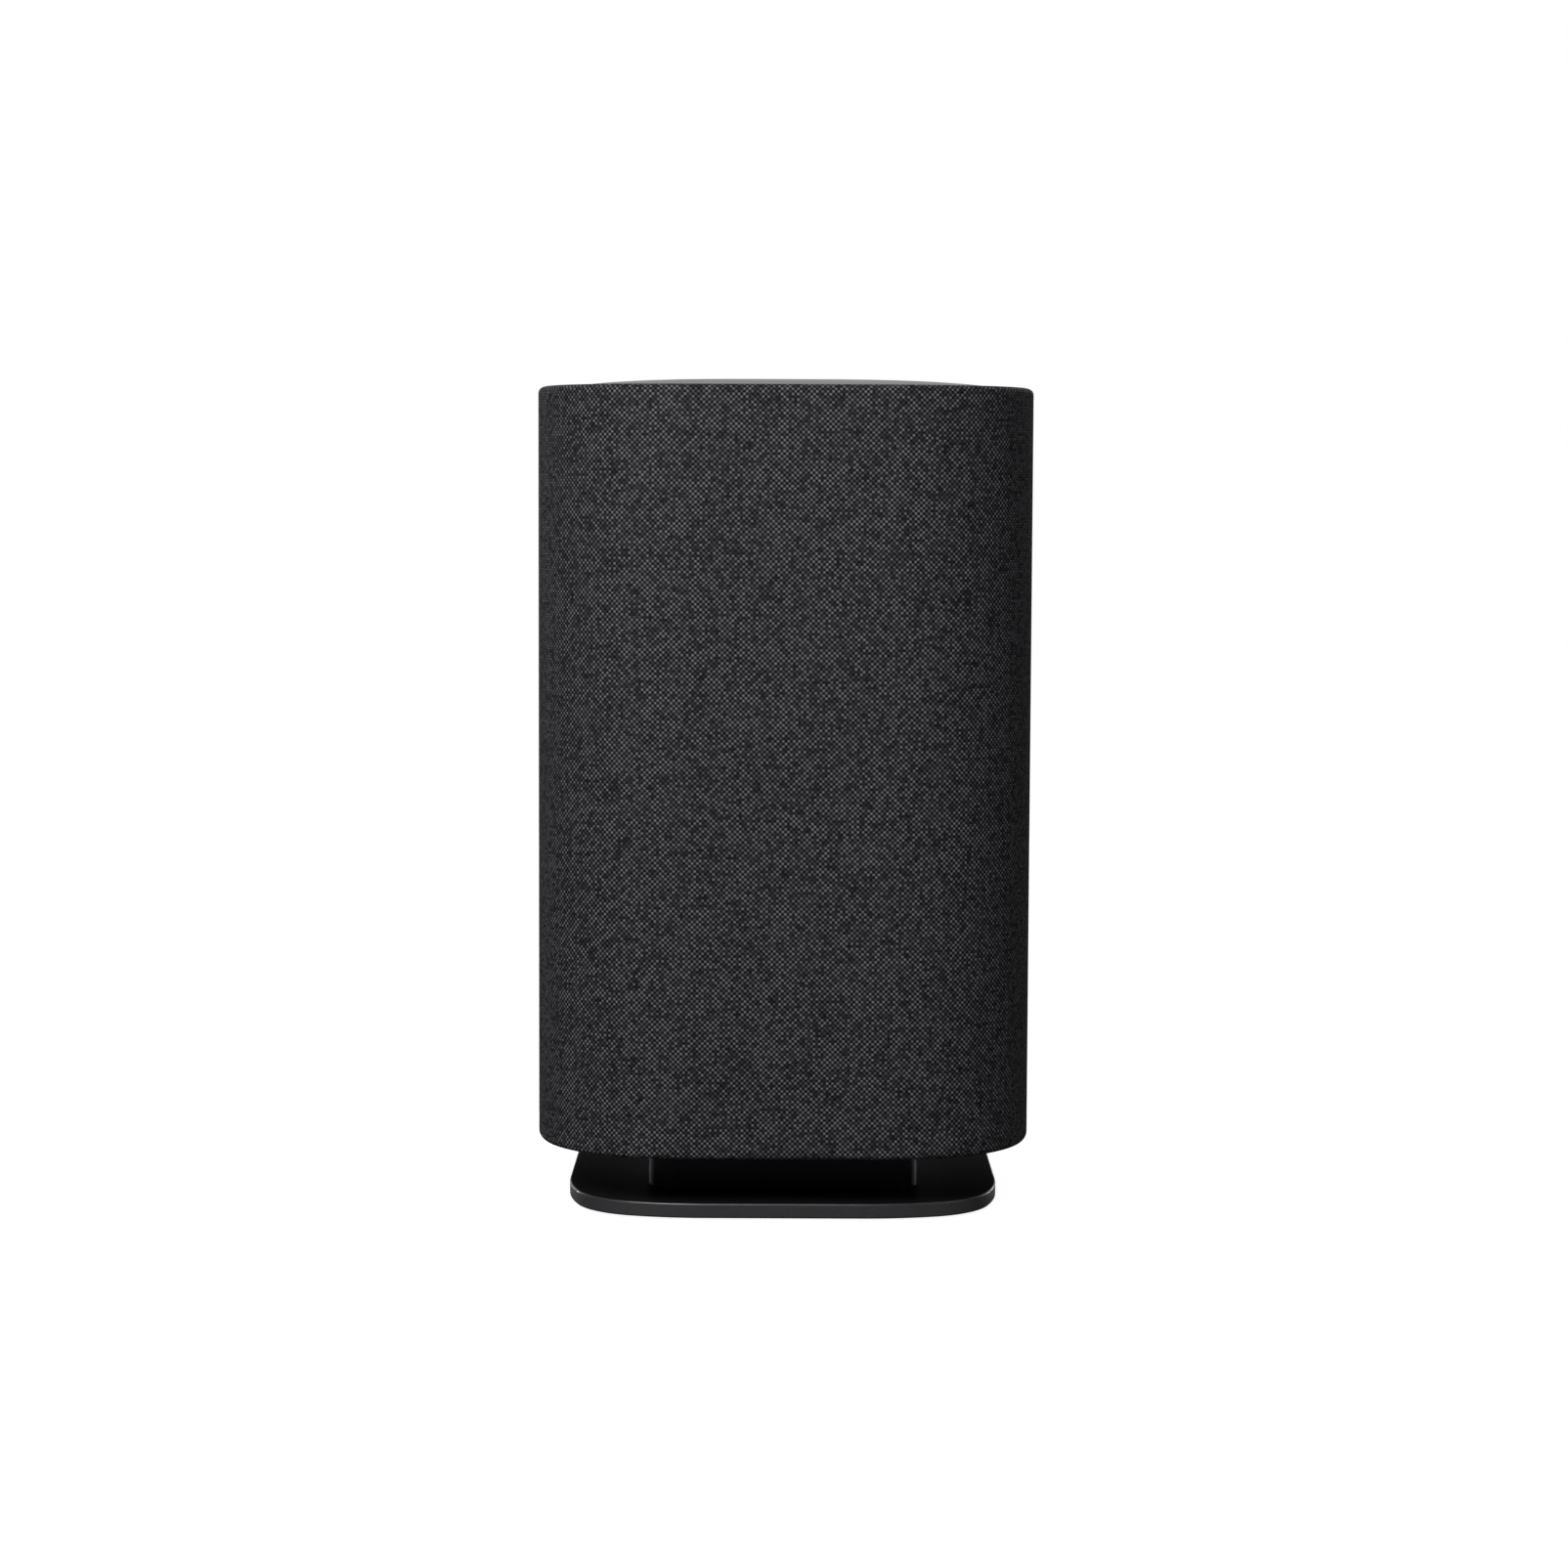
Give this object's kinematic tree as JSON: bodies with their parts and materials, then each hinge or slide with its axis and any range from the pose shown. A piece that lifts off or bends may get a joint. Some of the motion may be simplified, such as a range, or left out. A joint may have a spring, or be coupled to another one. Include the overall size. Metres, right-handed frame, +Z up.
{
  "type": "smart home hub",
  "caption": "Cloth-covered rounded-square voice hub on a neck and flat base, with top keys, woofer, tweeter, boards and a rear socket panel.",
  "frame": {"origin": "centre of the foot pad's underside", "axes": "+Z up, +Y to the back with the sockets, +X to the right seen from the front"},
  "size_m": [0.14, 0.14, 0.2345],
  "materials": {
    "cloth": "plain weave of near-black and light grey threads",
    "panel": "satin dark grey",
    "keys": "satin dark grey, with shallow marks",
    "base_metal": "fine-grained black paint",
    "black_plastic": "matt black",
    "dark_plastic": "dark grey moulded plastic",
    "rubber": "black rubber",
    "silicone": "translucent grey silicone",
    "steel": "zinc plated",
    "black_steel": "black oxide",
    "ferrite": "sintered ferrite",
    "aluminium": "plain extruded",
    "copper": "enamelled copper wire",
    "cone_paper": "pressed paper pulp",
    "dome_silk": "coated silk",
    "wadding": "loose white wadding",
    "circuit_board": "green solder mask",
    "lens": "milky light pipe",
    "contact": "bright plated",
    "socket_plastic": "black insulator"
  },
  "bodies": {
    "root": {"foot_pad": "rubber", "base_plate": "base_metal", "base_screws": "steel", "neck": "black_plastic", "neck_screws": "black_steel", "bottom_cap": "black_plastic", "cap_screws": "black_steel", "grille_frame": "dark_plastic", "fabric_sleeve": "cloth", "top_panel": "panel", "top_screws": "steel", "control_tray": "dark_plastic", "control_board": "circuit_board", "board_screws": "steel", "mic_gaskets": "rubber", "status_lens": "lens", "enclosure": "dark_plastic", "front_baffle": "dark_plastic", "baffle_gasket": "rubber", "baffle_screws": "black_steel", "damping_pad": "wadding", "bass_ports": "black_plastic", "woofer_basket": "black_steel", "woofer_top_plate": "steel", "woofer_magnet": "ferrite", "woofer_yoke": "steel", "woofer_surround": "rubber", "woofer_spider": "cone_paper", "woofer_screws": "black_steel", "tweeter_plate": "black_plastic", "tweeter_magnet": "ferrite", "tweeter_screws": "black_steel", "main_board": "circuit_board", "power_board": "circuit_board", "heat_sink": "aluminium", "wifi_antennas": "copper", "control_ribbon": "socket_plastic", "driver_leads": "black_plastic", "rear_panel": "black_plastic", "rear_panel_screws": "black_steel", "power_inlet": "socket_plastic", "inlet_pins": "contact", "network_jack": "steel", "usb_port": "steel", "io_board": "circuit_board", "action_dome": "silicone", "volume_down_dome": "silicone", "volume_up_dome": "silicone", "mute_dome": "silicone"},
    "woofer_coil_and_cone": {"woofer_cone": "cone_paper", "woofer_dust_cap": "cone_paper", "voice_coil": "copper"},
    "tweeter_diaphragm": {"tweeter_dome": "dome_silk"},
    "pair_button": {"pair_button": "dark_plastic"},
    "mic_switch": {"mic_switch": "dark_plastic"},
    "action_key": {"action_key": "keys"},
    "volume_down_key": {"volume_down_key": "keys"},
    "volume_up_key": {"volume_up_key": "keys"},
    "mute_key": {"mute_key": "keys"}
  },
  "joints": [
    {"name": "volume_down_press", "type": "slide", "parent": "root", "child": "volume_down_key", "axis": [0, 0, -1], "range_m": [0, 0.00035], "stiffness_N_per_m": 2000, "springref_m": -0.0002, "deforming": ["volume_down_dome"]},
    {"name": "volume_up_press", "type": "slide", "parent": "root", "child": "volume_up_key", "axis": [0, 0, -1], "range_m": [0, 0.00035], "stiffness_N_per_m": 2000, "springref_m": -0.0002, "deforming": ["volume_up_dome"]},
    {"name": "action_press", "type": "slide", "parent": "root", "child": "action_key", "axis": [0, 0, -1], "range_m": [0, 0.00035], "stiffness_N_per_m": 2000, "springref_m": -0.0002, "deforming": ["action_dome"]},
    {"name": "mute_press", "type": "slide", "parent": "root", "child": "mute_key", "axis": [0, 0, -1], "range_m": [0, 0.00035], "stiffness_N_per_m": 2000, "springref_m": -0.0002, "deforming": ["mute_dome"]},
    {"name": "woofer_stroke", "type": "slide", "parent": "root", "child": "woofer_coil_and_cone", "axis": [0, -1, 0], "range_m": [-0.003, 0.003], "stiffness_N_per_m": 1200, "deforming": ["woofer_surround", "woofer_spider"]},
    {"name": "tweeter_stroke", "type": "slide", "parent": "root", "child": "tweeter_diaphragm", "axis": [0, -1, 0], "range_m": [-0.0003, 0.0003], "stiffness_N_per_m": 3000},
    {"name": "pair_button_press", "type": "slide", "parent": "root", "child": "pair_button", "axis": [0, -1, 0], "range_m": [0, 0.0005], "stiffness_N_per_m": 2500, "springref_m": -0.0002},
    {"name": "mic_switch_slide", "type": "slide", "parent": "root", "child": "mic_switch", "axis": [1, 0, 0], "range_m": [0, 0.0025]}
  ]
}
